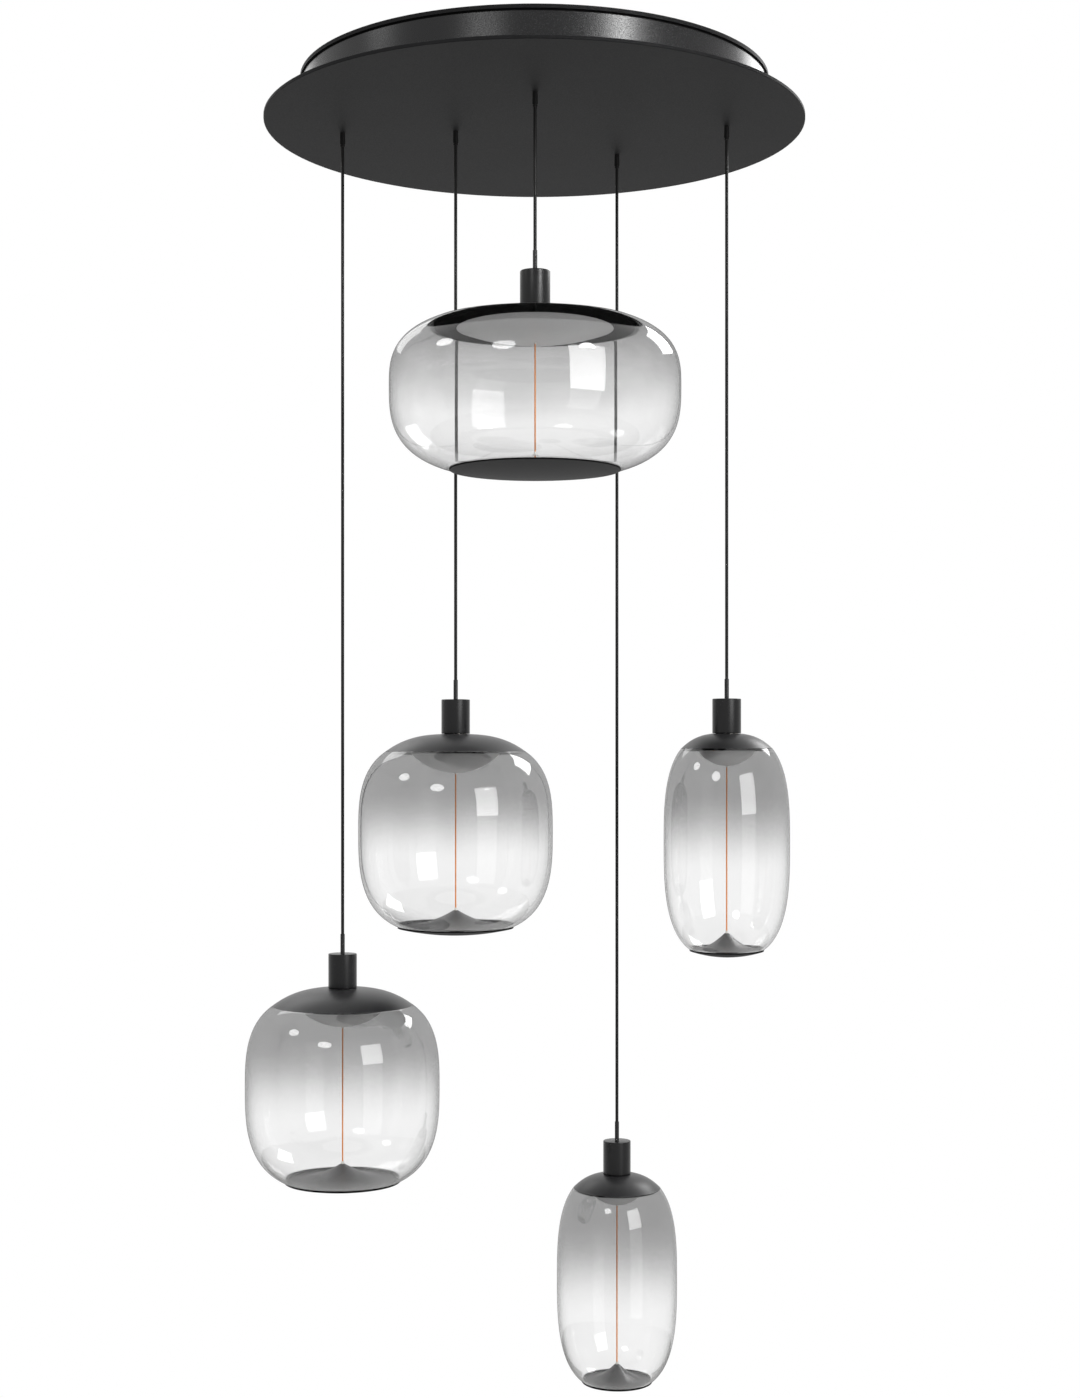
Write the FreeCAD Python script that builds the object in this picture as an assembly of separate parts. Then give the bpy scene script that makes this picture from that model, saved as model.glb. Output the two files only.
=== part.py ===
"""A cluster pendant: five smoked glass lamps hung at staggered heights from a round canopy.

Millimetres, +Z up. The origin is the centre of the face that bears on the ceiling. +X is to
the right and +Y points away from someone who looks at the lamp from its front.

A ceiling plate carries a canopy by three side screws. The canopy carries five cord grips,
and below each grip hang a rubber bush, a cord, a lampholder and a bulb that screws into it.
"""
import FreeCAD
import Part

import math
import os

# ---- Ceiling plate, canopy and what closes the gap between them ----
canopy_height = 48.0          # ceiling to the underside of the disc
disc_radius = 300.0
disc_thickness = 4.0
disc_edge = 0.6               # bevel on the disc's rim
drum_radius = 258.0
drum_sheet = 1.5
drum_foot = 14.0              # inward flange spot-welded to the disc
plate_overhang = 2.0          # how far the plate's rim stands out past the drum
plate_sheet = 2.0
plate_hem = 8.0               # width of the hem folded under the plate's rim
seal_thickness = 2.0
seal_recess = 0.4             # how far the seal lies inside the drum's face

# ---- Ceiling screws and the mains cable's inlet ----
ceiling_screw_hole = 3.0      # radius
ceiling_screw_circle = 200.0  # radius
ceiling_screw_count = 4
inlet_hole = 10.0             # radius of the hole in the plate
inlet_offset = 60.0           # from the centre, towards +Y
grommet_bore = 5.0            # radius left for the cable
grommet_lip = 3.0
grommet_depth = 3.0           # height of the lip below the plate

# ---- Side screws: lugs on the plate, slots that open downwards ----
side_angles = (8.0, 90.0, 172.0)
side_screw_drop = 15.0        # screw's axis below the plate's sheet
side_screw_radius = 2.0
side_head_radius = 4.0
side_head_height = 2.2
side_nut_radius = 3.8
side_nut_height = 3.0
lug_width = 16.0
lug_thickness = 2.0
lug_length = 24.0             # below the plate's sheet
lug_gap = 0.9                 # between the lug and the drum's wall

# ---- Cords and cord grips ----
cord_radius = 1.8
grip_shoulder = 4.3           # width of the ledge that rests on the disc
grip_body_height = 8.0
grip_nose_wall = 0.8          # where the nose leaves the disc
grip_nose_lip = 0.45          # at its mouth
pivot_drop = 14.5             # underside of the disc to the point each cord swings about
bush_wall = 0.55
bush_skirt = 1.1              # how far the bush reaches below the pivot
seat_height = 1.3             # mouth of the nose above the pivot

# ---- Wiring inside the canopy ----
block_length = 80.0
block_width = 36.0
block_height = 24.0
block_poles = 6
block_well = 3.0              # radius of a pole's screw well
block_well_depth = 9.0
block_ear = 9.0
block_ear_thickness = 3.0
block_screw_radius = 1.5
block_screw_head = 3.0
block_screw_bite = 2.6        # thread length in the disc
lead_height = 16.0            # above the disc
lead_bend = 7.0
lead_elbow = 6.3              # length of the elbow before and after its corner
lead_entry = 6.0              # length held in the block

# ---- Lampholder, the same on all five lamps ----
holder_wall = 2.7
holder_height = 38.5
holder_bevel = 0.6
collar_wall = 0.55
collar_height = 22.0
cord_embed = 2.5              # cord inside the lampholder's roof

# ---- Bulb pieces that are the same size on all five lamps ----
shell_radius = 13.0           # crest of the E27 thread
shell_height = 22.0
shell_crown = 2.5
shell_crown_radius = 7.0
shell_wall = 0.8
contact_radius = 4.8
contact_height = 2.5
neck_wall = 2.0
neck_height = 6.0
glass_wall = 1.6
cap_wall = 1.6
cap_floor = 1.5
spigot_depth = 2.5            # part of the cap that sits inside the glass's mouth
spigot_wall = 2.0
dome_wall = 1.2
dome_rim = 1.8                # width of the edge that meets the cap
base_rim = 1.6
base_tip_radius = 2.6
filament_radius = 0.6
ferrule_radius = 1.4
ferrule_height = 3.0

# ---- Named clearances ----
turn_gap = 0.1                # cord in its collar
bush_gap = 0.35               # cord's round end in its bush
seat_gap = 0.25               # bush in the grip's seat
thread_gap = 0.3              # bulb's shell in the lampholder's bore
contact_gap = 0.3             # contact button below the bore's end
fit_gap = 0.1                 # pieces that are fixed to each other
seat_face_gap = 0.3           # bulb's shoulder to the lampholder's mouth
screw_slot_gap = 0.3          # side screw in its slot

# ---- The three bulb models. Heights are measured from the widest part. ----
LARGE = {
    "radius": 154.0,
    "cap_radius": 111.5,
    "base_radius": 90.5,
    "top_height": 66.0,
    "low_height": 86.0,
    "cap_rise": 19.5,
    "cap_power": 1.3,
    "dome_ledge": 23.0,
    "dome_depth": 16.0,
    "cone_height": 14.5,
    "underside": 5.0,
}
MEDIUM = {
    "radius": 109.0,
    "cap_radius": 78.0,
    "base_radius": 65.0,
    "top_height": 90.5,
    "low_height": 106.5,
    "cap_rise": 19.4,
    "cap_power": 3.0,
    "dome_ledge": 25.0,
    "dome_depth": 21.5,
    "cone_height": 18.0,
    "underside": 7.5,
}
TALL = {
    "radius": 70.0,
    "cap_radius": 50.5,
    "base_radius": 41.2,
    "top_height": 105.0,
    "low_height": 119.0,
    "cap_rise": 17.1,
    "cap_power": 3.0,
    "dome_ledge": 16.0,
    "dome_depth": 17.0,
    "cone_height": 18.3,
    "underside": 6.5,
}

# ---- The five lamps from left to right: where each cord hangs and how far down ----
# An outer cord keeps a margin to the drum's foot, and a cord beside a glass a clearance to it.
FAR_LEFT = {"margin": 19.5, "y": 21.0, "hang": 923.4}
LEFT = {"clearance": 16.84, "y": 15.0, "hang": 637.6}
MIDDLE = {"clearance": 13.75, "x": 1.0, "hang": 188.8}
RIGHT = {"x": 96.0, "y": 110.0, "hang": 1150.2}
FAR_RIGHT = {"margin": 21.5, "y": -6.0, "hang": 637.2}

# ---- Levels and radii that follow from the sizes above ----
plate_radius = drum_radius + plate_overhang
disc_underside_z = -canopy_height
disc_top_z = disc_underside_z + disc_thickness
hem_z = -2 * plate_sheet
drum_top_z = hem_z - seal_thickness
side_screw_z = -plate_sheet - side_screw_drop
pivot_z = disc_underside_z - pivot_drop
drum_inner = drum_radius - drum_sheet
lug_outer = drum_inner - lug_gap
lug_inner = lug_outer - lug_thickness
lug_corner = math.hypot(lug_outer, lug_width / 2)
bush_hollow = cord_radius + bush_gap
bush_radius = bush_hollow + bush_wall
seat_radius = bush_radius + seat_gap
grip_bore = cord_radius + fit_gap
grip_nose_top = grip_bore + grip_nose_wall
grip_body_radius = grip_nose_top + grip_shoulder
collar_bore = cord_radius + turn_gap
holder_bore = shell_radius + thread_gap
holder_radius = holder_bore + holder_wall
holder_bore_depth = shell_height + shell_crown + contact_height - seat_face_gap + contact_gap
neck_radius = shell_radius - shell_wall - fit_gap

# ---- The cords' places: the drum carries the outer two, and each other one clears a glass ----
grip_limit = drum_inner - drum_foot - grip_body_radius
far_left_x = FAR_LEFT["margin"] - grip_limit
far_right_x = grip_limit - FAR_RIGHT["margin"]
left_spacing = MEDIUM["radius"] + cord_radius + LEFT["clearance"]
left_x = far_left_x + math.sqrt(left_spacing ** 2 - (LEFT["y"] - FAR_LEFT["y"]) ** 2)
middle_spacing = LARGE["radius"] + cord_radius + MIDDLE["clearance"]
middle_y = LEFT["y"] - math.sqrt(middle_spacing ** 2 - (MIDDLE["x"] - left_x) ** 2)
LAMPS = (
    {"x": far_left_x, "y": FAR_LEFT["y"], "hang": FAR_LEFT["hang"], "bulb": MEDIUM},
    {"x": left_x, "y": LEFT["y"], "hang": LEFT["hang"], "bulb": MEDIUM},
    {"x": MIDDLE["x"], "y": middle_y, "hang": MIDDLE["hang"], "bulb": LARGE},
    {"x": RIGHT["x"], "y": RIGHT["y"], "hang": RIGHT["hang"], "bulb": TALL},
    {"x": far_right_x, "y": FAR_RIGHT["y"], "hang": FAR_RIGHT["hang"], "bulb": TALL},
)

ORIGIN = FreeCAD.Vector(0, 0, 0)
UP = FreeCAD.Vector(0, 0, 1)


# ---- Outlines and solids ----
def at(radius, z):
    """A point of an outline: its distance from the axis and its height."""
    return FreeCAD.Vector(radius, 0, z)


def smooth(points):
    """An arc through three points, or a smooth curve through more."""
    if len(points) == 3:
        return Part.Arc(*points).toShape()
    curve = Part.BSplineCurve()
    curve.interpolate(points)
    return curve.toShape()


def spin(*steps):
    """Turn a closed outline about the Z axis. A step is a corner, or a list that is a curve."""
    edges = []
    first = steps[0][0] if isinstance(steps[0], list) else steps[0]
    last = None
    for step in steps + (first,):
        start = step[0] if isinstance(step, list) else step
        if last is not None and last.distanceToPoint(start) > 1e-6:
            edges.append(Part.LineSegment(last, start).toShape())
        if isinstance(step, list):
            edges.append(smooth(step))
            last = step[-1]
        else:
            last = step
    solid = Part.Face(Part.Wire(edges)).revolve(ORIGIN, UP, 360)
    if solid.Volume < 0:
        solid.reverse()
    return solid


def tube(outer, inner, low, high):
    return spin(at(inner, low), at(outer, low), at(outer, high), at(inner, high))


def post(radius, low, high, x=0.0, y=0.0):
    """An upright cylinder between two levels."""
    return Part.makeCylinder(radius, high - low, FreeCAD.Vector(x, y, low), UP)


def radial(radius, start, end, z, degrees):
    """A cylinder that lies along a radius of the canopy, from one distance to another."""
    turn = math.radians(degrees)
    out = FreeCAD.Vector(math.cos(turn), math.sin(turn), 0)
    return Part.makeCylinder(radius, end - start, out * start + UP * z, out)


def moved(shape, x, y, z=0.0):
    copy = shape.copy()
    copy.translate(FreeCAD.Vector(x, y, z))
    return copy


def save(name, *solids):
    shape = solids[0] if len(solids) == 1 else Part.makeCompound(solids)
    shape.exportStep("parts/" + name + ".step")
    print(f"{name}: {len(shape.Solids)} solid(s), {shape.Volume / 1000:.2f} cm3, {shape.isValid()}")


# ---- Ceiling plate ----
def ceiling_plate():
    """A hemmed round sheet with three lugs, four screw holes and the cable's hole."""
    sheet = spin(
        at(0, 0),
        at(plate_radius, 0),
        at(plate_radius, hem_z),
        at(plate_radius - plate_hem, hem_z),
        at(plate_radius - plate_hem, -plate_sheet),
        at(0, -plate_sheet),
    )
    plate = sheet.fuse([lug(degrees) for degrees in side_angles]).removeSplitter()
    holes = [post(inlet_hole, -plate_sheet, 0, 0, inlet_offset)]
    for index in range(ceiling_screw_count):
        turn = math.radians(45.0 + index * 360.0 / ceiling_screw_count)
        x = ceiling_screw_circle * math.cos(turn)
        y = ceiling_screw_circle * math.sin(turn)
        holes.append(post(ceiling_screw_hole, -plate_sheet, 0, x, y))
    return plate.cut(holes)


def lug(degrees):
    """A flat lug under the plate with a slot that is open at its lower end."""
    low = -plate_sheet - lug_length
    corner = FreeCAD.Vector(lug_inner, -lug_width / 2, low)
    blade = Part.makeBox(lug_thickness, lug_width, lug_length, corner)
    half = side_screw_radius + screw_slot_gap
    mouth = FreeCAD.Vector(lug_inner, -half, low)
    slot = Part.makeBox(lug_thickness, 2 * half, side_screw_z - low, mouth)
    blade = blade.cut([slot, radial(half, lug_inner, lug_outer, side_screw_z, 0)])
    blade.rotate(ORIGIN, UP, degrees)
    return blade


def plate_seal():
    """The dark foam ring between the plate's hem and the drum's upper edge, outside the lugs."""
    return tube(drum_radius - seal_recess, lug_corner + fit_gap, drum_top_z, hem_z)


def inlet_grommet():
    """A rubber grommet pressed into the plate from below."""
    body = inlet_hole - fit_gap
    ring = spin(
        at(grommet_bore, 0),
        at(body, 0),
        at(body, -plate_sheet),
        at(body + grommet_lip, -plate_sheet),
        at(body + grommet_lip, -plate_sheet - grommet_depth),
        at(grommet_bore, -plate_sheet - grommet_depth),
    )
    return moved(ring, 0, inlet_offset)


# ---- Canopy ----
def canopy_disc():
    """The flat disc with a hole for each cord grip and two screw holes for the block."""
    disc = spin(
        at(0, disc_underside_z),
        at(disc_radius - disc_edge, disc_underside_z),
        at(disc_radius, disc_underside_z + disc_edge),
        at(disc_radius, disc_top_z - disc_edge),
        at(disc_radius - disc_edge, disc_top_z),
        at(0, disc_top_z),
    )
    hole = grip_nose_top + fit_gap
    holes = [post(hole, disc_underside_z, disc_top_z, lamp["x"], lamp["y"]) for lamp in LAMPS]
    bite = block_screw_bite + fit_gap
    holes += [post(block_screw_radius, disc_top_z - bite, disc_top_z, x, 0) for x in ear_centres()]
    return disc.cut(holes)


def canopy_drum():
    """The upright wall, folded inwards at its foot, with a hole for each side screw."""
    drum = spin(
        at(drum_radius, drum_top_z),
        at(drum_radius, disc_top_z),
        at(drum_inner - drum_foot, disc_top_z),
        at(drum_inner - drum_foot, disc_top_z + drum_sheet),
        at(drum_inner, disc_top_z + drum_sheet),
        at(drum_inner, drum_top_z),
    )
    hole = side_screw_radius + fit_gap
    holes = [
        radial(hole, lug_inner, drum_radius + side_head_height, side_screw_z, degrees)
        for degrees in side_angles
    ]
    return drum.cut(holes)


def side_screws():
    """Three round-headed screws, each with the nut that clamps a lug to the drum."""
    nut_face = lug_inner - screw_slot_gap
    tip = nut_face - side_nut_height - side_screw_radius / 2
    wall = drum_radius * math.cos(math.asin(side_head_radius / drum_radius))
    pieces = []
    for degrees in side_angles:
        shank = radial(side_screw_radius, tip, drum_radius + fit_gap, side_screw_z, degrees)
        head_end = drum_radius + side_head_height
        head = radial(side_head_radius, drum_radius, head_end, side_screw_z, degrees)
        pieces.append(shank.fuse(head).removeSplitter())
        nut = radial(side_nut_radius, nut_face - side_nut_height, nut_face, side_screw_z, degrees)
        hole = radial(side_screw_radius, tip, wall, side_screw_z, degrees)
        pieces.append(nut.cut(hole))
    return pieces


def cord_grip():
    """A turned grip: a shoulder on the disc, and a slim nose with a round seat in its mouth."""
    mouth_z = pivot_z + seat_height
    low_turn = math.asin(seat_height / seat_radius)
    high_turn = math.acos(grip_bore / seat_radius)
    seat = [
        at(seat_radius * math.cos(turn), pivot_z + seat_radius * math.sin(turn))
        for turn in (low_turn, (low_turn + high_turn) / 2, high_turn)
    ]
    return spin(
        at(grip_bore, disc_top_z + grip_body_height),
        at(grip_body_radius, disc_top_z + grip_body_height),
        at(grip_body_radius, disc_top_z),
        at(grip_nose_top, disc_top_z),
        at(grip_nose_top, disc_underside_z),
        at(seat[0].x + grip_nose_lip, mouth_z),
        seat,
    )


def ear_centres():
    """Where the block's two fixing screws stand, along X."""
    reach = (block_length + block_ear) / 2
    return (-reach, reach)


def terminal_block():
    """The junction block: two ears, two rows of screw wells and a socket for each lead."""
    corner = FreeCAD.Vector(-block_length / 2, -block_width / 2, disc_top_z)
    body = Part.makeBox(block_length, block_width, block_height, corner)
    ears_length = block_length + 2 * block_ear
    ears_corner = FreeCAD.Vector(-ears_length / 2, -block_width / 4, disc_top_z)
    ears = Part.makeBox(ears_length, block_width / 2, block_ear_thickness, ears_corner)
    top_z = disc_top_z + block_height
    cuts = []
    for index in range(block_poles):
        x = block_length * ((index + 0.5) / block_poles - 0.5)
        for y in (-block_width / 4, block_width / 4):
            cuts.append(post(block_well, top_z - block_well_depth, top_z, x, y))
    for x in ear_centres():
        hole = block_screw_radius + fit_gap
        cuts.append(post(hole, disc_top_z, disc_top_z + block_ear_thickness, x, 0))
    for end, inward in lead_sockets():
        hole = cord_radius + fit_gap
        cuts.append(Part.makeCylinder(hole, lead_entry + fit_gap, end, inward))
    return body.fuse(ears).removeSplitter().cut(cuts)


def block_screws():
    top = disc_top_z + block_ear_thickness
    screws = []
    for x in ear_centres():
        shank = post(block_screw_radius, disc_top_z - block_screw_bite, top, x, 0)
        head = post(block_screw_head, top, top + block_screw_radius, x, 0)
        screws.append(shank.fuse(head).removeSplitter())
    return screws


def lead_sockets():
    """For each lamp, where its lead meets the block and the direction it enters in."""
    half = block_length / 2
    quarter = block_width / 4
    side = block_width / 2
    z = disc_top_z + lead_height
    right = FreeCAD.Vector(1, 0, 0)
    back = FreeCAD.Vector(0, 1, 0)
    return (
        (FreeCAD.Vector(-half, -quarter, z), right),
        (FreeCAD.Vector(-half, quarter, z), right),
        (FreeCAD.Vector(LAMPS[2]["x"], -side, z), back),
        (FreeCAD.Vector(half, quarter, z), -right),
        (FreeCAD.Vector(half, -quarter, z), -right),
    )


def inner_lead(lamp, socket):
    """The cord's upper end: up through its grip, over a bend and straight into the block."""
    end, inward = socket
    low = FreeCAD.Vector(lamp["x"], lamp["y"], pivot_z + seat_radius + fit_gap)
    top = FreeCAD.Vector(lamp["x"], lamp["y"], end.z)
    turn_in = end - inward * lead_bend
    across = (turn_in - top).normalize()
    centre = top - UP * lead_bend + across * lead_bend
    middle = centre + (UP - across) * (lead_bend / math.sqrt(2))
    rise_end = top - UP * lead_bend
    bend_end = top + across * lead_bend
    turn = math.acos(max(-1.0, min(1.0, across.dot(inward))))
    edges = [
        Part.LineSegment(low, rise_end).toShape(),
        Part.Arc(rise_end, middle, bend_end).toShape(),
    ]
    if turn < 1e-6:
        edges.append(Part.LineSegment(bend_end, end + inward * lead_entry).toShape())
    else:
        start = turn_in - across * lead_elbow
        finish = turn_in + inward * lead_elbow
        halfway = (inward - across).normalize()
        depth = lead_elbow * math.tan(turn / 4)
        elbow = turn_in + halfway * depth
        edges.append(Part.LineSegment(bend_end, start).toShape())
        edges.append(Part.Arc(start, elbow, finish).toShape())
        edges.append(Part.LineSegment(finish, end + inward * lead_entry).toShape())
    path = Part.Wire(edges)
    ring = Part.Wire([Part.Circle(low, UP, cord_radius).toShape()])
    return path.makePipeShell([ring], True, False)


# ---- One lamp, built on the axis and moved to its place ----
def levels(lamp):
    """The heights of one lamp that its pieces share."""
    bulb = lamp["bulb"]
    holder_top = disc_underside_z - lamp["hang"]
    mouth = holder_top - holder_height
    shoulder = mouth - seat_face_gap
    rim = shoulder - cap_height_at(bulb, holder_radius)
    return {
        "holder_top": holder_top,
        "mouth": mouth,
        "shoulder": shoulder,
        "rim": rim,
        "floor": rim - spigot_depth,
        "widest": rim - bulb["top_height"],
        "base": rim - bulb["top_height"] - bulb["low_height"],
    }


def cap_height_at(bulb, radius):
    """Height of the cap above its rim. A higher power makes the crown flatter at the middle."""
    return bulb["cap_rise"] * (1 - (radius / bulb["cap_radius"]) ** bulb["cap_power"])


def crown_reach(bulb, height, radius):
    """Half height of the whole cubic oval that passes a given radius at a given height."""
    return height / (1 - (radius / bulb["radius"]) ** 3) ** (1 / 3)


def oval(widest, reach, level, centre_z, side, steps=6):
    """Points of a cubic oval from its widest place to a level above (1) or below (-1) it."""
    last = math.asin((level / reach) ** 1.5)
    points = []
    for index in range(steps + 1):
        turn = last * index / steps
        radius = widest * math.cos(turn) ** (2 / 3)
        points.append(at(radius, centre_z + side * reach * math.sin(turn) ** (2 / 3)))
    return points


def glass_side(bulb, inset, centre_z):
    """The glass's outline from its mouth down to its base, at a depth inside its surface."""
    top_reach = crown_reach(bulb, bulb["top_height"], bulb["cap_radius"]) - inset
    low_reach = crown_reach(bulb, bulb["low_height"], bulb["base_radius"]) - inset
    widest = bulb["radius"] - inset
    upper = oval(widest, top_reach, bulb["top_height"], centre_z, 1)
    lower = oval(widest, low_reach, bulb["low_height"], centre_z, -1)
    return upper[::-1] + lower[1:]


def cord_bush():
    """A rubber ball that seats in the grip's mouth, hollow for the end of the cord."""
    low = pivot_z - bush_skirt
    slant = math.sqrt(0.5)
    return spin(
        [
            at(0, pivot_z + bush_radius),
            at(bush_radius * slant, pivot_z + bush_radius * slant),
            at(math.sqrt(bush_radius ** 2 - bush_skirt ** 2), low),
        ],
        at(bush_hollow, low),
        [
            at(bush_hollow, pivot_z),
            at(bush_hollow * slant, pivot_z + bush_hollow * slant),
            at(0, pivot_z + bush_hollow),
        ],
    )


def cord(level):
    """The hanging cord, round at the point it swings about, held in the lampholder's roof."""
    slant = math.sqrt(0.5)
    return spin(
        at(0, level["holder_top"] - cord_embed),
        at(cord_radius, level["holder_top"] - cord_embed),
        [
            at(cord_radius, pivot_z),
            at(cord_radius * slant, pivot_z + cord_radius * slant),
            at(0, pivot_z + cord_radius),
        ],
    )


def lampholder(level):
    """A turned holder: slim collar round the cord, plain cup, bore for the bulb's shell."""
    top = level["holder_top"]
    mouth = level["mouth"]
    collar_radius = collar_bore + collar_wall
    return spin(
        at(collar_bore, top + collar_height),
        at(collar_radius, top + collar_height),
        at(collar_radius, top),
        at(holder_radius - holder_bevel, top),
        at(holder_radius, top - holder_bevel),
        at(holder_radius, mouth + holder_bevel),
        at(holder_radius - holder_bevel, mouth),
        at(holder_bore, mouth),
        at(holder_bore, mouth + holder_bore_depth),
        at(0, mouth + holder_bore_depth),
        at(0, top - cord_embed - turn_gap),
        at(collar_bore, top - cord_embed - turn_gap),
    )


def bulb_shell(level):
    """The E27 screw shell, drawn with a smooth crest."""
    low = level["shoulder"]
    high = low + shell_height
    crown = high + shell_crown
    inner = shell_radius - shell_wall
    return spin(
        at(inner, low),
        at(shell_radius, low),
        at(shell_radius, high),
        at(shell_crown_radius, crown),
        at(0, crown),
        at(0, crown - shell_wall),
        at(shell_crown_radius, crown - shell_wall),
        at(inner, high - shell_wall),
    )


def bulb_contact(level):
    """The contact button on the shell's crown."""
    low = level["shoulder"] + shell_height + shell_crown
    return post(contact_radius, low, low + contact_height)


def spigot_radius(bulb):
    """The radius of the cap's spigot, which fits inside the glass's upper edge."""
    return glass_side(bulb, glass_wall, 0)[0].x - fit_gap


def bulb_cap(bulb, level):
    """The cap: a crown with a thin rim, a spigot in the glass, a neck in the screw shell."""
    rim = level["rim"]
    shoulder = level["shoulder"]
    floor = level["floor"]
    spigot = spigot_radius(bulb)
    cavity = spigot - spigot_wall
    neck_bore = neck_radius - neck_wall
    steps = 8
    outside = []
    inside = []
    for index in range(steps + 1):
        share = index / steps
        outer = bulb["cap_radius"] + (holder_radius - bulb["cap_radius"]) * share
        inner = neck_bore + (cavity - neck_bore) * share
        outside.append(at(outer, rim + cap_height_at(bulb, outer)))
        inside.append(at(inner, rim + cap_height_at(bulb, inner) - cap_wall))
    return spin(
        at(0, floor),
        at(spigot, floor),
        at(spigot, rim),
        outside,
        at(neck_radius, shoulder),
        at(neck_radius, shoulder + neck_height),
        at(neck_bore, shoulder + neck_height),
        inside,
        at(cavity, floor + cap_floor),
        at(0, floor + cap_floor),
    )


def driver_dome(bulb, level):
    """The pale bowl under the cap's floor."""
    top = level["floor"]
    radius = spigot_radius(bulb) - bulb["dome_ledge"]
    outside = bowl(radius, bulb["dome_depth"], top)
    inside = bowl(radius - dome_rim, bulb["dome_depth"] - dome_wall, top)
    return spin(outside, inside[::-1])


def bowl(radius, depth, top):
    """Three points of a shallow arc that hangs from a level: edge, flank and lowest point."""
    ball = (radius ** 2 + depth ** 2) / (2 * depth)
    turn = math.asin(radius / ball) / 2 if depth < radius else math.radians(45.0)
    centre = top - depth + ball
    flank = at(ball * math.sin(turn), centre - ball * math.cos(turn))
    return [at(radius, top), flank, at(0, top - depth)]


def glass(bulb, level):
    """The blown envelope, open at its mouth and at its base."""
    outside = glass_side(bulb, 0.0, level["widest"])
    inside = glass_side(bulb, glass_wall, level["widest"])
    return spin(outside, inside[::-1])


def bulb_base(bulb, level):
    """The closing disc: a flared cone inside the glass, a rim below it and a bulged face."""
    top = level["base"]
    seat = glass_side(bulb, glass_wall, 0)[-1].x - fit_gap
    steps = 6
    flare = []
    for index in range(steps + 1):
        share = index / steps
        radius = base_tip_radius + (seat - base_tip_radius) * share
        flare.append(at(radius, top + bulb["cone_height"] * (1 - share) ** 2))
    under = bowl(bulb["base_radius"], bulb["underside"], top - base_rim)
    return spin(
        at(0, top + bulb["cone_height"]),
        flare,
        at(bulb["base_radius"], top),
        under,
    )


def filament(bulb, level):
    """The upright filament with a ferrule where it leaves the bowl and the cone."""
    high = level["floor"] - bulb["dome_depth"]
    low = level["base"] + bulb["cone_height"]
    return spin(
        at(0, low),
        at(ferrule_radius, low),
        at(ferrule_radius, low + ferrule_height),
        at(filament_radius, low + ferrule_height),
        at(filament_radius, high - ferrule_height / 2),
        at(ferrule_radius, high - ferrule_height / 2),
        at(ferrule_radius, high),
        at(0, high),
    )


def build():
    os.makedirs("parts", exist_ok=True)
    save("ceiling_plate", ceiling_plate())
    save("plate_seal", plate_seal())
    save("inlet_grommet", inlet_grommet())
    save("canopy_disc", canopy_disc())
    save("canopy_drum", canopy_drum())
    save("side_screws", *side_screws())
    save("cord_grips", *[moved(cord_grip(), lamp["x"], lamp["y"]) for lamp in LAMPS])
    save("terminal_block", terminal_block())
    save("block_screws", *block_screws())
    save("inner_leads", *[inner_lead(*pair) for pair in zip(LAMPS, lead_sockets())])
    for number, lamp in enumerate(LAMPS, start=1):
        bulb = lamp["bulb"]
        level = levels(lamp)
        pieces = {
            "cord_bush": cord_bush(),
            "cord": cord(level),
            "lampholder": lampholder(level),
            "bulb_contact": bulb_contact(level),
            "bulb_shell": bulb_shell(level),
            "bulb_cap": bulb_cap(bulb, level),
            "driver_dome": driver_dome(bulb, level),
            "glass": glass(bulb, level),
            "filament": filament(bulb, level),
            "bulb_base": bulb_base(bulb, level),
        }
        for name, piece in pieces.items():
            save(f"{name}_{number}", moved(piece, lamp["x"], lamp["y"]))


build()
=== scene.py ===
# %% [markdown]
# # A cluster pendant
#
# Five smoked glass bulbs hang on straight black cords from a round canopy. The construction
# comes ready made as a frame of solids, one for each part. This lesson dresses that frame:
# it sets the camera and the light, gives the canopy's parts their coats, and makes the cords
# and the round parts of the lamps anew as smooth surfaces. Everything is in metres, with the
# ceiling at height 0 and the lamps below it.

# %% The frame
import math

import bpy
import numpy as np
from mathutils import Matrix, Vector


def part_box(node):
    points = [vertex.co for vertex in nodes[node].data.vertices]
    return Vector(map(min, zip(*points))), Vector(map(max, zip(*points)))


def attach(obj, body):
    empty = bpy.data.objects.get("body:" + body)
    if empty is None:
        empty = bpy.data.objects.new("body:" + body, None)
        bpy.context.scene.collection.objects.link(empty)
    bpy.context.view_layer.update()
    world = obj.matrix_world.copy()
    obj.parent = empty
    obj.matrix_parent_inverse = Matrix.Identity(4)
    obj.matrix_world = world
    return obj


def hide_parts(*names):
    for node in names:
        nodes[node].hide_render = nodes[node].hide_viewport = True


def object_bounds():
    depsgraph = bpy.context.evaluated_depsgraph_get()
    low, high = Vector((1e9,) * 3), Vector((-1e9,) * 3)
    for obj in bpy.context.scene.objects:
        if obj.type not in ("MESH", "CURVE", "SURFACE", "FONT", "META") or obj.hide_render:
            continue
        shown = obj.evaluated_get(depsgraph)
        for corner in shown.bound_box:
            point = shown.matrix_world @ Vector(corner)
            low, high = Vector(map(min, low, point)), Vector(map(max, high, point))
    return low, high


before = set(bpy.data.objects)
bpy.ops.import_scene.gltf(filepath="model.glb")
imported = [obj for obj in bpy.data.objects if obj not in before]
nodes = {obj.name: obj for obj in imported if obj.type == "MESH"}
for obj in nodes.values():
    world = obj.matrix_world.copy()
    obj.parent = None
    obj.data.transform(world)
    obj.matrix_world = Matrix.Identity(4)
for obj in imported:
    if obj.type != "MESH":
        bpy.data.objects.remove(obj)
scene = bpy.context.scene
cad_box = [list(corner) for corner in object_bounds()]
height = round(cad_box[1][2] - cad_box[0][2], 3)
print("the frame has", len(nodes), "parts and is", height, "m high")

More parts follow.
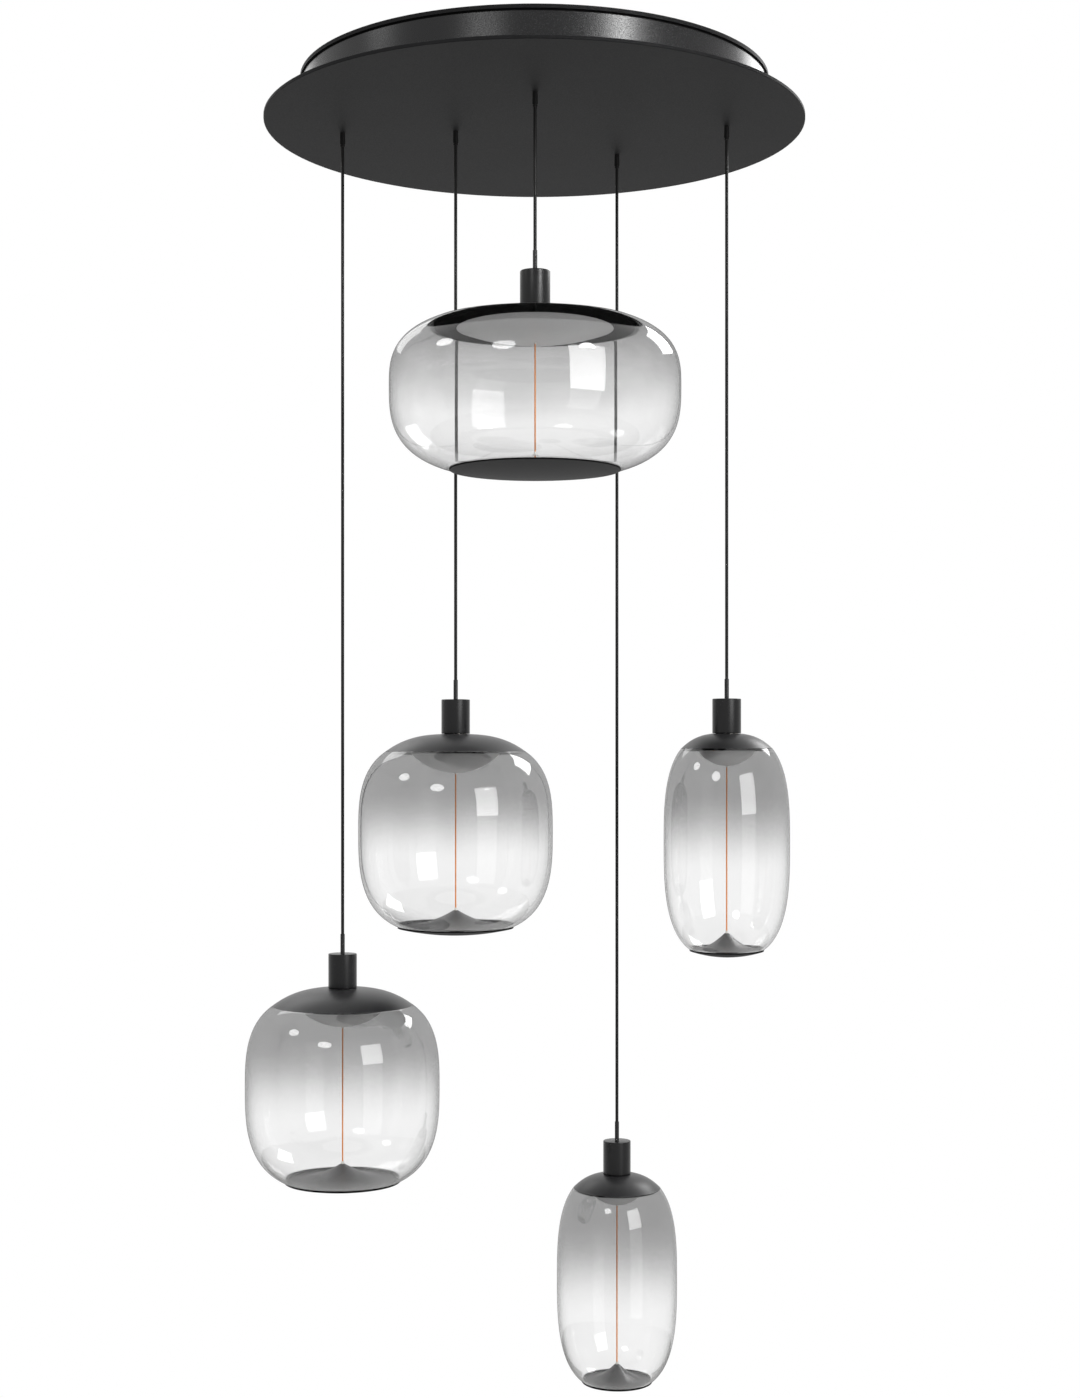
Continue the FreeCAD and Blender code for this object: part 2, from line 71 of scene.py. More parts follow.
# %% [markdown]
# ## Camera
#
# The cords are exactly upright in the picture, so the camera is level. The caps of two
# lamps are seen edge-on, which puts the lens at their height, 740 mm under the ceiling.
# A level camera that looks at the middle of a tall object would cut off one of its ends.
# A real view camera slides its lens sideways for that, and `shift_y` does the same here.

# %% Camera
camera_data = bpy.data.cameras.new("camera")
camera_data.lens = 54.9
camera_data.shift_y = 0.035
camera_data.clip_end = 50
camera = bpy.data.objects.new("camera", camera_data)
camera.location = (0.0062, -2.379, -0.740)
camera.rotation_euler = (math.radians(90), 0, 0)
scene.collection.objects.link(camera)
scene.camera = camera
scene.view_settings.view_transform = "Standard"
print("camera at", tuple(round(value, 3) for value in camera.location))

# %% [markdown]
# ## Room light
#
# The background is plain white, but a white room would wash out the dark metal. Light
# Path tells the two apart: rays that see the background, straight from the camera or by
# way of metal and glass, meet white, and rays that only carry light meet a softer grey.
# Node trees need a little arithmetic here and there, so a helper for it comes first.


# %% Room light
ROOM_LIGHT = 0.40


def math_node(tree, operation, *values):
    """The output of a math node whose inputs are numbers or other nodes' outputs."""
    node = tree.nodes.new("ShaderNodeMath")
    node.operation = operation
    for socket, value in zip(node.inputs, values):
        if isinstance(value, (int, float)):
            socket.default_value = value
        else:
            tree.links.new(value, socket)
    return node.outputs[0]


world = bpy.data.worlds.new("studio")
scene.world = world
world.use_nodes = True
tree = world.node_tree
tree.nodes.clear()
sees = tree.nodes.new("ShaderNodeLightPath")
either = math_node(
    tree, "MAXIMUM", sees.outputs["Is Camera Ray"], sees.outputs["Is Glossy Ray"]
)
any_of_three = math_node(tree, "MAXIMUM", either, sees.outputs["Is Transmission Ray"])
strength = tree.nodes.new("ShaderNodeMapRange")
strength.inputs["To Min"].default_value = ROOM_LIGHT
strength.inputs["To Max"].default_value = 1.0
tree.links.new(any_of_three, strength.inputs["Value"])
background = tree.nodes.new("ShaderNodeBackground")
background.inputs["Color"].default_value = (1, 1, 1, 1)
tree.links.new(strength.outputs["Result"], background.inputs["Strength"])
world_out = tree.nodes.new("ShaderNodeOutputWorld")
tree.links.new(background.outputs[0], world_out.inputs["Surface"])
print("room light", ROOM_LIGHT)

# %% [markdown]
# ## Studio lamps
#
# The bright shapes on the glass are the studio's own lamps, mirrored. Each shape tells
# where its lamp stands: the surface there faces halfway between the camera and the lamp.
# So each lamp is given by the direction it stands in, seen from the bulbs, and by how
# wide it looks from there. A round or square area light is enough, because only its
# outline shows. The lamps are hidden from the camera, so that no view meets one. Clean
# glass mirrors weakly, so a lamp that looks right in it would overlight everything else.
# Rays that have been mirrored on their way meet a lamp's full glow, and all other rays
# meet only a share of it. The last lamp wears a grid, which lets its light out only
# forwards: it puts the broad highlight on the canopy's drum and stays out of the bulbs.

# %% Studio lamps
LAMP_DISTANCE = 3.2
ROUND_BELOW = 18
MIDDLE = (0.0, 0.0, -0.74)
CANOPY = (0.0, 0.0, -0.03)


def lamp_strength(tree, share):
    """share + (1 - share) x mirrored, where mirrored is 1 for rays with a mirroring behind them."""
    path = tree.nodes.new("ShaderNodeLightPath")
    mirrored = math_node(tree, "GREATER_THAN", path.outputs["Glossy Depth"], 0.5)
    level = math_node(tree, "MULTIPLY_ADD", mirrored, 1 - share, share)
    tree.links.new(level, tree.nodes["Emission"].inputs["Strength"])


def studio_lamp(name, side, rise, width, height, glow, share=0.5, target=MIDDLE,
                spread=180):
    """An area light at an angle to the right of the camera's line and above the horizon.

    Its place is target + distance (sin s cos r, -cos s cos r, sin r), its size is twice the
    distance times the tangent of half its angle, and its power is pi x area x glow. Lamps
    narrower than ROUND_BELOW degrees are round.
    """
    side, rise = math.radians(side), math.radians(rise)
    aim = np.array(
        [math.sin(side) * math.cos(rise), -math.cos(side) * math.cos(rise), math.sin(rise)]
    )
    data = bpy.data.lights.new(name, "AREA")
    round_lamp = width < ROUND_BELOW
    data.shape = "ELLIPSE" if round_lamp else "RECTANGLE"
    data.size = 2 * LAMP_DISTANCE * math.tan(math.radians(width / 2))
    data.size_y = 2 * LAMP_DISTANCE * math.tan(math.radians(height / 2))
    area = data.size * data.size_y * (math.pi / 4 if round_lamp else 1)
    data.energy = math.pi * area * glow
    data.spread = math.radians(spread)
    data.use_nodes = True
    lamp_strength(data.node_tree, share)
    lamp = bpy.data.objects.new(name, data)
    lamp.location = np.array(target) + aim * LAMP_DISTANCE
    turn = math.atan2(aim[0], -aim[1])
    lamp.rotation_euler = (math.radians(90) - rise, 0, turn)
    lamp.visible_camera = False
    scene.collection.objects.link(lamp)
    print(name, "power", round(data.energy, 1), "W")


studio_lamp("softbox_right", 39, 14, 27, 25, 5.0)
studio_lamp("softbox_right_core", 39, 14, 22, 21, 9.0)
studio_lamp("strip_right", 38, 0, 24, 56, 0.8, share=1)
studio_lamp("spot_front_left", -23, 27, 16, 10, 8.0)
studio_lamp("spot_left", -76, 34, 14, 10, 7.0)
studio_lamp("softbox_rear_right", 133, 34, 24, 18, 7.5, share=1)
studio_lamp("softbox_rear_left", -147, 34, 24, 18, 1.5)
studio_lamp("gridded_box", 42, 19, 46, 14, 0.42, share=1, target=CANOPY, spread=14)

# %% [markdown]
# ## Floor
#
# The lamp hangs over a plain pale floor, 2.4 m below the ceiling. The floor is a disc that
# ends just below the picture. Seen from underneath it lets the view through.

# %% Floor
FLOOR_LEVEL = -2.4
FLOOR_RADIUS = 2.8
FLOOR_STEPS = 96

turns = np.linspace(0, 2 * np.pi, FLOOR_STEPS, endpoint=False)
rim = np.stack([np.cos(turns), np.sin(turns), 0 * turns], 1) * FLOOR_RADIUS
rim[:, 2] = FLOOR_LEVEL
floor_mesh = bpy.data.meshes.new("floor")
floor_mesh.from_pydata(rim.tolist(), [], [list(range(len(rim)))])
floor = bpy.data.objects.new("floor", floor_mesh)
scene.collection.objects.link(floor)
floor_paint = bpy.data.materials.new("floor_paint")
floor_paint.use_nodes = True
floor_tree = floor_paint.node_tree
floor_shader = floor_tree.nodes["Principled BSDF"]
floor_shader.inputs["Base Color"].default_value = (0.8, 0.8, 0.79, 1)
floor_shader.inputs["Roughness"].default_value = 0.8
below = floor_tree.nodes.new("ShaderNodeNewGeometry")
clear_side = floor_tree.nodes.new("ShaderNodeBsdfTransparent")
floor_mix = floor_tree.nodes.new("ShaderNodeMixShader")
floor_tree.links.new(below.outputs["Backfacing"], floor_mix.inputs[0])
floor_tree.links.new(floor_shader.outputs[0], floor_mix.inputs[1])
floor_tree.links.new(clear_side.outputs[0], floor_mix.inputs[2])
floor_tree.links.new(floor_mix.outputs[0], floor_tree.nodes["Material Output"].inputs["Surface"])
floor_mesh.materials.append(floor_paint)
print("floor at", FLOOR_LEVEL)

# %% [markdown]
# ## Finishes
#
# A coat of powder paint is a dark colour with a fine grain: the grain breaks the gloss into
# a soft sheen, and the colour is never quite even over a hand's width. Two noises on Object
# coordinates give both, a fine one that moves roughness and bump, and a broad one that
# moves the colour. The same recipe with other numbers makes rubber, nylon and satin paint.


# %% Finishes
BROAD_SCALE = 9.0
BROAD_DETAIL = 3.0
ROUGHNESS_SWING = 0.06
GRAIN_BUMP = 0.35


def grain(tree, scale, detail=2.0, stretch=(1, 1, 1)):
    """A noise on Object coordinates, stretched along the axes, between 0 and 1."""
    place = tree.nodes.new("ShaderNodeTexCoord")
    mapping = tree.nodes.new("ShaderNodeMapping")
    mapping.inputs["Scale"].default_value = stretch
    noise = tree.nodes.new("ShaderNodeTexNoise")
    noise.inputs["Scale"].default_value = scale
    noise.inputs["Detail"].default_value = detail
    tree.links.new(place.outputs["Object"], mapping.inputs["Vector"])
    tree.links.new(mapping.outputs["Vector"], noise.inputs["Vector"])
    return noise.outputs["Fac"]


def spread(tree, value, low, high):
    """Maps a noise's middle range, 0.3 to 0.7, to low and high."""
    ramp = tree.nodes.new("ShaderNodeMapRange")
    ramp.inputs["From Min"].default_value = 0.3
    ramp.inputs["From Max"].default_value = 0.7
    ramp.inputs["To Min"].default_value = low
    ramp.inputs["To Max"].default_value = high
    tree.links.new(value, ramp.inputs["Value"])
    return ramp.outputs["Result"]


def coat(name, colour, rough, sheen=0.5, metal=0.0, grain_size=0.0009, depth=0.00006,
         uneven=0.12, stretch=(1, 1, 1)):
    """A painted, moulded or plated finish: colour x broad noise, roughness and bump by grain."""
    material = bpy.data.materials.new(name)
    material.use_nodes = True
    tree = material.node_tree
    shader = tree.nodes["Principled BSDF"]
    shader.inputs["Metallic"].default_value = metal
    shader.inputs["Specular IOR Level"].default_value = sheen
    broad = spread(tree, grain(tree, BROAD_SCALE, BROAD_DETAIL), 1 - uneven, 1 + uneven)
    tint = tree.nodes.new("ShaderNodeMix")
    tint.data_type = "RGBA"
    tint.blend_type = "MULTIPLY"
    tint.inputs["Factor"].default_value = 1.0
    tint.inputs["A"].default_value = (*colour, 1)
    tree.links.new(broad, tint.inputs["B"])
    tree.links.new(tint.outputs["Result"], shader.inputs["Base Color"])
    fine = grain(tree, 1 / grain_size, 2.0, stretch)
    uneven_gloss = spread(tree, fine, rough - ROUGHNESS_SWING, rough + ROUGHNESS_SWING)
    tree.links.new(uneven_gloss, shader.inputs["Roughness"])
    bump = tree.nodes.new("ShaderNodeBump")
    bump.inputs["Strength"].default_value = GRAIN_BUMP
    bump.inputs["Distance"].default_value = depth
    tree.links.new(fine, bump.inputs["Height"])
    tree.links.new(bump.outputs["Normal"], shader.inputs["Normal"])
    return material


canopy_coat = coat("canopy_coat", (0.009, 0.009, 0.0095), 0.6, sheen=0.09)
drum_coat = coat("drum_coat", (0.006, 0.006, 0.0065), 0.27, sheen=0.3)
holder_coat = coat("holder_coat", (0.005, 0.005, 0.0055), 0.30, sheen=0.27, grain_size=0.0006)
cap_coat = coat("cap_coat", (0.018, 0.018, 0.019), 0.38, sheen=0.4, grain_size=0.0005,
                depth=0.00003)
# The base disc wears one coat in two copies: the flare's lighter colour is painted light, the
# underside's darker colour is painted shade.
flare_coat_painted_light = coat("flare_coat_painted_light", (0.022, 0.022, 0.023), 0.4, sheen=0.5, grain_size=0.0005,
                  depth=0.00003)
underside_coat_painted_shade = coat("underside_coat_painted_shade", (0.012, 0.012, 0.0125), 0.55, sheen=0.05, grain_size=0.0005,
                 depth=0.00003)
seal_foam = coat("seal_foam", (0.003, 0.003, 0.003), 0.9, sheen=0.05, depth=0.0003)
rubber = coat("rubber", (0.006, 0.006, 0.006), 0.6, sheen=0.2)
nylon = coat("nylon", (0.005, 0.005, 0.005), 0.5, sheen=0.2)
zinc = coat("zinc", (0.55, 0.56, 0.58), 0.32, metal=1.0, grain_size=0.0015)
nickel = coat("nickel", (0.70, 0.66, 0.60), 0.24, metal=1.0, uneven=0.06, depth=0.00002)
tin = coat("tin", (0.62, 0.60, 0.56), 0.35, metal=1.0, grain_size=0.0012)
block_plastic = coat("block_plastic", (0.62, 0.60, 0.55), 0.45, uneven=0.05)
cord_sheath = coat("cord_sheath", (0.004, 0.004, 0.004), 0.42, sheen=0.2, grain_size=0.004,
                   depth=0.000002, stretch=(1, 1, 0.02))
bowl_satin = coat("bowl_satin", (0.76, 0.76, 0.76), 0.38, sheen=0.4, grain_size=0.0006,
                  depth=0.00002, uneven=0.03)
copper = coat("copper", (0.66, 0.20, 0.01), 0.5, sheen=0.05, grain_size=0.0008,
              depth=0.00001, stretch=(1, 1, 3))
print("coats:", len(bpy.data.materials))

# %% [markdown]
# ## The ceiling plate and the canopy
#
# These parts are flat sheets, rings and small turned parts, and the frame's own solids
# already have that shape. Only their finish is missing, so each takes its coat and stays
# as it is. The bush in each grip and the contact on each bulb are small, and stay too.

# %% The ceiling plate and the canopy
FINISHES = {
    "ceiling_plate": canopy_coat,
    "plate_seal": seal_foam,
    "inlet_grommet": rubber,
    "canopy_disc": canopy_coat,
    "canopy_drum": drum_coat,
    "side_screws": zinc,
    "cord_grips": nylon,
    "terminal_block": block_plastic,
    "block_screws": zinc,
    "inner_leads": cord_sheath,
}
for number in range(1, 6):
    FINISHES[f"cord_bush_{number}"] = rubber
    FINISHES[f"bulb_contact_{number}"] = tin
for name, material in FINISHES.items():
    mesh = nodes[name].data
    mesh.materials.clear()
    mesh.materials.append(material)
print("parts with a coat of their own:", len(FINISHES))

# %% [markdown]
# ## Turned pieces
#
# Nearly everything below the canopy is round, so one tool makes it: an outline in the
# plane of radius and height, carried round the lamp's axis. The outline is a closed loop,
# walked with the inside on the left, so every face looks outwards. Where it meets the axis
# the ring shrinks to a single point, and no hole is left. Real edges are never knife
# sharp, so a second tool rounds the outline's corners first.

# %% Turned pieces
MM = 0.001
CORNER_STEPS = 5


def rounded(corners, radii):
    """Rounds an outline: each corner b is cut back to a and c, and the gap is bridged by
    (1-t)^2 a + 2t(1-t) b + t^2 c."""
    b = np.array(corners, float)
    before = np.roll(b, 1, 0) - b
    after = np.roll(b, -1, 0) - b
    cut = np.broadcast_to(np.array(radii, float), len(b))[:, None]
    a = b + before / np.linalg.norm(before, axis=1, keepdims=True) * cut
    c = b + after / np.linalg.norm(after, axis=1, keepdims=True) * cut
    t = np.linspace(0, 1, CORNER_STEPS)[None, :, None]
    bridge = (1 - t) ** 2 * a[:, None] + 2 * t * (1 - t) * b[:, None] + t ** 2 * c[:, None]
    return bridge.reshape(-1, 2)


def without_ends(outline):
    """A rounded outline without its first and last corner, to go on from there."""
    return outline[CORNER_STEPS:-CORNER_STEPS]


def new_piece(name, points, faces, material, sharp=35):
    """A mesh object at the origin, smooth except where faces meet more sharply than an angle."""
    mesh = bpy.data.meshes.new(name)
    mesh.from_pydata(points.tolist(), [], faces)
    mesh.validate()
    mesh.shade_smooth()
    mesh.set_sharp_from_angle(angle=math.radians(sharp))
    mesh.materials.append(material)
    piece = bpy.data.objects.new(name, mesh)
    scene.collection.objects.link(piece)
    return piece


def paint_by_height(piece, materials, levels):
    """Gives the faces above each level, in millimetres, the next material."""
    centres = np.zeros(len(piece.data.polygons) * 3)
    piece.data.polygons.foreach_get("center", centres)
    index = np.zeros(len(piece.data.polygons), np.int32)
    for material, level in zip(materials, levels):
        piece.data.materials.append(material)
        index += centres.reshape(-1, 3)[:, 2] > (level + 1e-3) * MM
    piece.data.polygons.foreach_set("material_index", index)


def turned(name, outline, axis, material, steps=160, sharp=35, radius_of=None, tilt=None):
    """Turns a closed outline in millimetres about an upright axis.

    Point (k, j) is (x + r cos a, y + r sin a, z), with r and z from outline point k and a
    from step j. radius_of(r, z, a) may bend the radius, as a screw thread does. The rows of
    tilt are the directions that X, Y and Z point in on a piece that does not stand upright.
    """
    outline = np.array(outline, float)
    outline = outline[np.linalg.norm(outline - np.roll(outline, 1, 0), axis=1) > 1e-6]
    r, z = outline[:, :1], outline[:, 1:]
    a = np.linspace(0, 2 * np.pi, steps, endpoint=False)[None, :]
    if radius_of is not None:
        r = radius_of(r, z, a)
    grid = np.stack(np.broadcast_arrays(r * np.cos(a), r * np.sin(a), z + 0 * a), -1) * MM
    if tilt is not None:
        grid = grid @ tilt
    grid = grid + np.resize([*axis, 0.0], 3)
    pole = outline[:, 0] < 1e-6
    index = np.arange(len(outline))[:, None] * steps + np.arange(steps) * ~pole[:, None]
    right, up = np.roll(index, -1, 1), np.roll(index, -1, 0)
    above = np.roll(right, -1, 0)
    next_pole = np.roll(pole, -1)
    quads = np.stack([index, right, above, up], -1)[~pole & ~next_pole].reshape(-1, 4)
    fans = np.stack([index, above, up], -1)[pole & ~next_pole].reshape(-1, 3)
    caps = np.stack([index, right, above], -1)[~pole & next_pole].reshape(-1, 3)
    used, flat = np.unique(
        np.concatenate([quads.ravel(), fans.ravel(), caps.ravel()]), return_inverse=True
    )
    first, second = quads.size, quads.size + fans.size
    faces = flat[:first].reshape(-1, 4).tolist()
    faces += flat[first:second].reshape(-1, 3).tolist() + flat[second:].reshape(-1, 3).tolist()
    return new_piece(name, grid.reshape(-1, 3)[used], faces, material, sharp)


print("rounded square has", len(rounded([(0, 0), (1, 0), (1, 1), (0, 1)], 0.1)), "points")

# %% [markdown]
# ## The five lamps
#
# The lamps share one construction in three sizes: a flattened bulb, two barrels and two
# slim ones. Each lamp needs only a few numbers: where its axis is, how high its holder
# ends, and the bulb's radii and heights. The heights are read from the frame's own boxes,
# so a lamp here can't drift away from its solids.

# %% The five lamps
BARREL = {
    "top_height": 90.5, "cap_rise": 19.4, "cap_power": 3.0, "ledge": 25.0, "bowl": 21.5,
    "cone": 18.0, "underside": 7.5, "smoke": 0.56, "clear_from": 0.62,
}
FLAT = {
    "top_height": 66.0, "cap_rise": 19.5, "cap_power": 1.3, "ledge": 23.0, "bowl": 16.0,
    "cone": 14.5, "underside": 5.0, "smoke": 0.61, "clear_from": 0.57,
}
SLIM = {
    "top_height": 105.0, "cap_rise": 17.1, "cap_power": 3.0, "ledge": 16.0, "bowl": 17.0,
    "cone": 18.3, "underside": 6.5, "smoke": 0.56, "clear_from": 0.62,
}
SIZES = {1: BARREL, 2: BARREL, 3: FLAT, 4: SLIM, 5: SLIM}
GLASS_WALL = 1.6
SPIGOT_DEPTH = 2.5
SPIGOT_WALL = 2.0
BASE_RIM = 1.6
FIT = 0.1
HOLDER_RADIUS = 16.0
CORD_RADIUS = 1.8


def lamp_sizes(number):
    """The sizes of one lamp in millimetres, from the boxes of its parts."""
    size = dict(SIZES[number])
    low, high = (np.array(corner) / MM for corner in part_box(f"glass_{number}"))
    cap_low, cap_high = (np.array(corner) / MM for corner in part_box(f"bulb_cap_{number}"))
    base_low, base_high = (np.array(corner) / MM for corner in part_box(f"bulb_base_{number}"))
    holder_low, holder_high = (np.array(c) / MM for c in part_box(f"lampholder_{number}"))
    cord_low, cord_high = (np.array(corner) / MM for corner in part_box(f"cord_{number}"))
    size["axis"] = ((low + high) / 2 * MM)[:2]
    size["radius"] = (high - low)[0] / 2
    size["cap_radius"] = (cap_high - cap_low)[0] / 2
    size["base_radius"] = (base_high - base_low)[0] / 2
    size["rim"] = high[2]
    size["widest"] = high[2] - size["top_height"]
    size["base"] = low[2]
    size["mouth"] = holder_low[2]
    size["collar_top"] = holder_high[2]
    size["cord_low"] = cord_low[2]
    size["cord_high"] = cord_high[2] - CORD_RADIUS
    return size


LAMPS = {number: lamp_sizes(number) for number in range(1, 6)}
for number, size in LAMPS.items():
    print("lamp", number, {key: np.round(value, 2).tolist() for key, value in size.items()})

# %% [markdown]
# ## Cords
#
# Each cord carries its lamp, so it hangs dead straight from the round seat in its grip to
# the lampholder's roof. It is a curve with a round bevel: four points in a line, joined by a
# smooth spline.

# %% Cords
def hanging_cord(number):
    """A straight spline from the grip's seat down into the lampholder's roof."""
    size = LAMPS[number]
    heights = np.linspace(size["cord_high"], size["cord_low"], 4) * MM
    curve = bpy.data.curves.new(f"hanging_cord_{number}", "CURVE")
    curve.dimensions = "3D"
    curve.bevel_depth = CORD_RADIUS * MM
    curve.bevel_resolution = 6
    curve.use_fill_caps = True
    curve.resolution_u = 8
    spline = curve.splines.new("NURBS")
    spline.points.add(len(heights) - 1)
    for point, height in zip(spline.points, heights):
        point.co = (*size["axis"], height, 1)
    spline.order_u = 3
    spline.use_endpoint_u = True
    curve.materials.append(cord_sheath)
    piece = bpy.data.objects.new(f"hanging_cord_{number}", curve)
    scene.collection.objects.link(piece)
    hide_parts(f"cord_{number}")
    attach(piece, f"cord_{number}")


for number in LAMPS:
    hanging_cord(number)

# %% [markdown]
# ## Lampholders
#
# A lampholder is turned from one piece: a slim collar round the cord, a flat roof with a
# small rounding, a plain cup, and inside it the bore that takes the bulb's thread. The bore
# shows once a bulb is screwed out, so it is there too.

# %% Lampholders
HOLDER_HEIGHT = 38.5
HOLDER_BORE = 13.3
COLLAR_BORE = 1.9
COLLAR_RADIUS = 2.45
COLLAR_DEPTH = 2.6
BORE_DEPTH = 27.0


def lampholder(number):
    """The outline is walked up the outside, over the collar, and down through the bore."""
    size = LAMPS[number]
    mouth = size["mouth"]
    roof = mouth + HOLDER_HEIGHT
    top = size["collar_top"]
    outline = rounded(
        [
            (HOLDER_BORE, mouth), (HOLDER_RADIUS, mouth), (HOLDER_RADIUS, roof),
            (COLLAR_RADIUS, roof), (COLLAR_RADIUS, top), (COLLAR_BORE, top),
            (COLLAR_BORE, roof - COLLAR_DEPTH), (0, roof - COLLAR_DEPTH),
            (0, mouth + BORE_DEPTH), (HOLDER_BORE, mouth + BORE_DEPTH),
        ],
        [0.5, 0.8, 1.0, 0.5, 0.2, 0.2, 0, 0, 0, 0.5],
    )
    piece = turned(f"holder_{number}", outline, size["axis"], holder_coat, steps=96)
    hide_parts(f"lampholder_{number}")
    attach(piece, f"holder_{number}")


for number in LAMPS:
    lampholder(number)
print("lampholders turned")

# %% [markdown]
# ## Caps
#
# The cap closes the bulb's top: a shallow crown that ends in a thin sharp rim over the
# glass, a black ring under it that sits inside the glass's mouth, and a neck that holds
# the screw shell. The crown's height over its rim falls with a power of the radius. The
# third power keeps it flat near the holder and steep at the rim; the large bulb's crown is
# nearly a cone, with a power of 1.3.

# %% Caps
NECK_RADIUS = 12.1
NECK_HEIGHT = 6.0
NECK_WALL = 2.0
CAP_WALL = 1.6
CAP_FLOOR = 1.5
RIM_THICKNESS = 0.12
SHOULDER_DROP = 0.3


def glass_outline(size, inset, steps=56):
    """The glass's side from its base up to its mouth, at a depth inside its surface.

    Above and below its widest place it is a cubic oval, r = R (1 - (z / H)^3)^(1/3), whose
    half height H makes it end at the base's or the cap's radius.
    """
    halves = []
    for half, edge, side in (
        (size["widest"] - size["base"], size["base_radius"], -1),
        (size["rim"] - size["widest"], size["cap_radius"], 1),
    ):
        reach = half / (1 - (edge / size["radius"]) ** 3) ** (1 / 3) - inset
        z = half * np.linspace(0, 1, steps) ** 0.75
        r = (size["radius"] - inset) * (1 - (z / reach) ** 3) ** (1 / 3)
        halves.append(np.stack([r, size["widest"] + side * z], 1))
    return np.concatenate([halves[0][::-1], halves[1][1:]])


for size in LAMPS.values():
    size["spigot"] = glass_outline(size, GLASS_WALL)[-1, 0] - FIT


def crown_height(size, r):
    """The crown's height over its rim: rise (1 - (r / R)^power)."""
    return size["cap_rise"] * (1 - (r / size["cap_radius"]) ** size["cap_power"])


def bulb_cap(number):
    """The crown, with the spigot's ring and the neck."""
    size = LAMPS[number]
    rim, spigot, edge = size["rim"], size["spigot"], size["cap_radius"]
    shoulder = size["mouth"] - SHOULDER_DROP
    floor = rim - SPIGOT_DEPTH
    outer = np.linspace(edge, HOLDER_RADIUS, 40)[1:]
    crown = np.stack([outer, rim + crown_height(size, outer)], 1)
    neck_bore = NECK_RADIUS - NECK_WALL
    cavity = spigot - SPIGOT_WALL
    inner = np.linspace(neck_bore, cavity, 40)
    under = np.stack([inner, rim + crown_height(size, inner) - CAP_WALL], 1)
    foot = rounded([(0, floor), (spigot, floor), (spigot, rim)], [0, 0.4, 0])
    outline = np.concatenate([
        without_ends(foot),
        [(spigot - 0.01, rim), (edge, rim), (edge, rim + RIM_THICKNESS)],
        crown,
        [(NECK_RADIUS, shoulder), (NECK_RADIUS, shoulder + NECK_HEIGHT)],
        [(neck_bore, shoulder + NECK_HEIGHT)],
        under,
        [(cavity, floor + CAP_FLOOR), (0, floor + CAP_FLOOR), (0, floor)],
    ])
    piece = turned(f"cap_{number}", outline, size["axis"], seal_foam, sharp=30)
    paint_by_height(piece, [cap_coat], [rim])
    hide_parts(f"bulb_cap_{number}")
    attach(piece, f"bulb_{number}")


for number in LAMPS:
    bulb_cap(number)
print("caps turned; spigots", [round(size["spigot"], 1) for size in LAMPS.values()])

# %% [markdown]
# ## Bowls, base discs and filaments
#
# Under each cap hangs a pale bowl over the driver, a shallow piece of a sphere. The base
# disc closes the bulb with a flared cone inside and a slightly bulged face below. The cone
# takes a lighter, glossier copy of the face's coat as painted light, and the face the darker
# copy as painted shade. Between bowl and base stands the filament, a copper-coloured wire
# with a ferrule at each end.

# %% Bowls, base discs and filaments
DOME_WALL = 1.2
DOME_RIM = 1.8
BASE_TIP = 2.6
WIRE = 0.8
FERRULE = 1.4
FERRULE_HEIGHT = 3.0


def arc_down(radius, depth, top, steps=40):
    """A circle's arc from the edge (radius, top) down to the axis, depth below."""
    ball = (radius ** 2 + depth ** 2) / (2 * depth)
    r = radius * np.sin(np.linspace(np.pi / 2, 0, steps))
    return np.stack([r, top - depth + ball - np.sqrt(ball ** 2 - r ** 2)], 1)


def bowl(number):
    """Two arcs, the inner one a wall's thickness above the outer one."""
    size = LAMPS[number]
    top = size["rim"] - SPIGOT_DEPTH
    radius = size["spigot"] - size["ledge"]
    outer = arc_down(radius, size["bowl"], top)[::-1]
    inner = arc_down(radius - DOME_RIM, size["bowl"] - DOME_WALL, top)
    piece = turned(f"bowl_{number}", np.concatenate([outer, inner]), size["axis"], bowl_satin)
    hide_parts(f"driver_dome_{number}")
    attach(piece, f"bulb_{number}")


def base_disc(number):
    """Flare z = base + cone (1 - s)^2 over the share s of the radius, rim, bulged face."""
    size = LAMPS[number]
    seat = glass_outline(size, GLASS_WALL)[0, 0] - FIT
    share = np.linspace(1, 0, 40)
    flare = np.stack([
        BASE_TIP + (seat - BASE_TIP) * share, size["base"] + size["cone"] * (1 - share) ** 2,
    ], 1)
    edge = size["base_radius"]
    rim = rounded(
        [(0, 0), (edge, size["base"] - BASE_RIM), (edge, size["base"]), (seat, size["base"])],
        [0, 0.5, 0.3, 0],
    )
    under = arc_down(edge - 0.5, size["underside"], size["base"] - BASE_RIM)[::-1]
    outline = np.concatenate([under, without_ends(rim), flare, [(0, flare[-1, 1])]])
    piece = turned(f"base_{number}", outline, size["axis"], underside_coat_painted_shade, sharp=30)
    # The flare takes the lighter copy as painted light, the underside the darker copy as painted
    # shade.
    paint_by_height(piece, [seal_foam, flare_coat_painted_light], [size["base"] - BASE_RIM, size["base"]])
    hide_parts(f"bulb_base_{number}")
    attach(piece, f"bulb_{number}")


